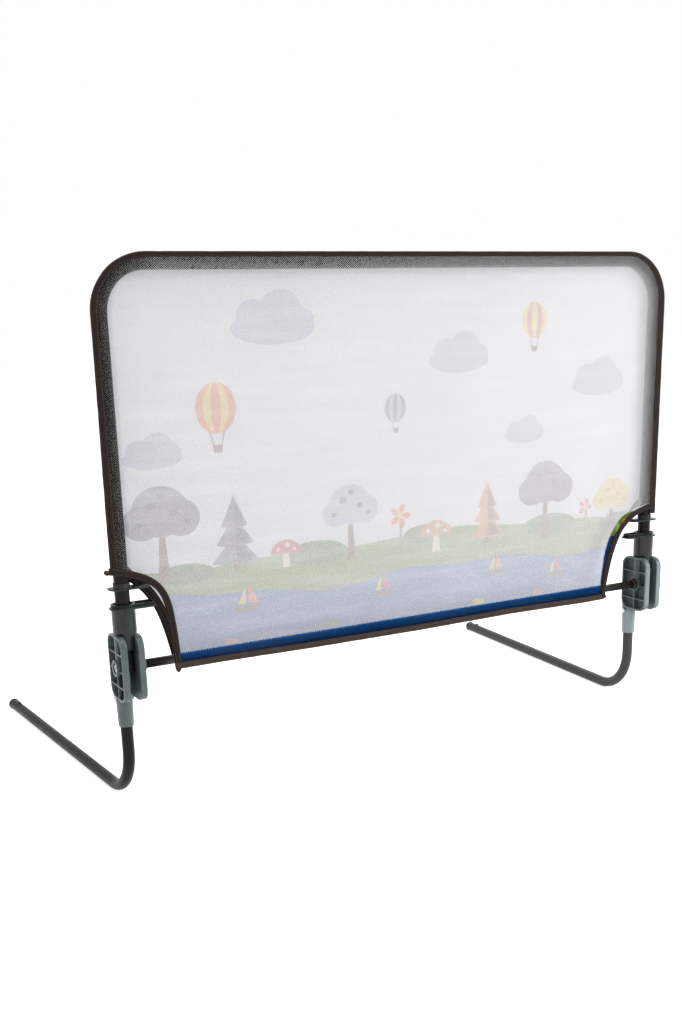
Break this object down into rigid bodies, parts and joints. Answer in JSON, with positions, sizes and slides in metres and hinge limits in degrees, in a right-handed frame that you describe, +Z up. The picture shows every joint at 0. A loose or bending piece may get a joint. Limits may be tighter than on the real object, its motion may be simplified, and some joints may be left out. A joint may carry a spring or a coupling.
{
  "type": "folding bed guard rail",
  "caption": "Fabric-covered tube rail on two folding hinges, with L-shaped legs whose arms slide under a mattress.",
  "frame": {"origin": "on the floor under the middle of the part", "axes": "+X along the rail, +Y from the rail towards the bed, +Z up"},
  "size_m": [0.9472, 0.5668, 0.6985],
  "materials": {
    "tube_steel": "satin near-black paint",
    "hinge_plastic": "satin grey-green moulded plastic",
    "cap_plastic": "satin dark plastic",
    "bright_steel": "plated steel",
    "net_cloth": "white net",
    "print_cloth": "smooth printed cloth",
    "brown_tape": "dark brown woven tape"
  },
  "bodies": {
    "base": {"crossbar": "tube_steel", "leg_left": "tube_steel", "arm_cap_left": "cap_plastic", "arm_stud_left": "cap_plastic", "bracket_left": "hinge_plastic", "socket_screw_left": "bright_steel", "pivot_bolt_left": "bright_steel", "bolt_washer_left": "bright_steel", "crossbar_plug_left": "bright_steel", "crossbar_collar_left": "cap_plastic", "leg_right": "tube_steel", "arm_cap_right": "cap_plastic", "arm_stud_right": "cap_plastic", "bracket_right": "hinge_plastic", "socket_screw_right": "bright_steel", "pivot_bolt_right": "bright_steel", "bolt_washer_right": "bright_steel", "crossbar_plug_right": "bright_steel", "crossbar_collar_right": "cap_plastic"},
    "rail": {"frame_tube_top": "tube_steel", "cover_print": "print_cloth", "cover_net": "net_cloth", "piping_tape": "brown_tape", "edge_tape_near": "brown_tape", "frame_tube_left": "tube_steel", "snap_button_left": "bright_steel", "hinge_tongue_left": "hinge_plastic", "tongue_rivet_left": "bright_steel", "upper_grip_left": "hinge_plastic", "spring_seat_left": "hinge_plastic", "spring_left": "bright_steel", "edge_tape_far_left": "brown_tape", "frame_tube_right": "tube_steel", "snap_button_right": "bright_steel", "hinge_tongue_right": "hinge_plastic", "tongue_rivet_right": "bright_steel", "upper_grip_right": "hinge_plastic", "spring_seat_right": "hinge_plastic", "spring_right": "bright_steel", "edge_tape_far_right": "brown_tape"},
    "release_left": {"release_sleeve_left": "hinge_plastic"},
    "release_right": {"release_sleeve_right": "hinge_plastic"}
  },
  "joints": [
    {"name": "rail_fold", "type": "hinge", "parent": "base", "child": "rail", "pos_m": [0, -0.25735, 0.1967], "axis": [1, 0, 0], "range_deg": [0, 175]},
    {"name": "release_left_slide", "type": "slide", "parent": "rail", "child": "release_left", "axis": [0, 0, 1], "range_m": [0, 0.015], "stiffness_N_per_m": 300, "springref_m": -0.01, "deforming": ["spring_left"]},
    {"name": "release_right_slide", "type": "slide", "parent": "rail", "child": "release_right", "axis": [0, 0, 1], "range_m": [0, 0.015], "stiffness_N_per_m": 300, "springref_m": -0.01, "deforming": ["spring_right"]}
  ]
}
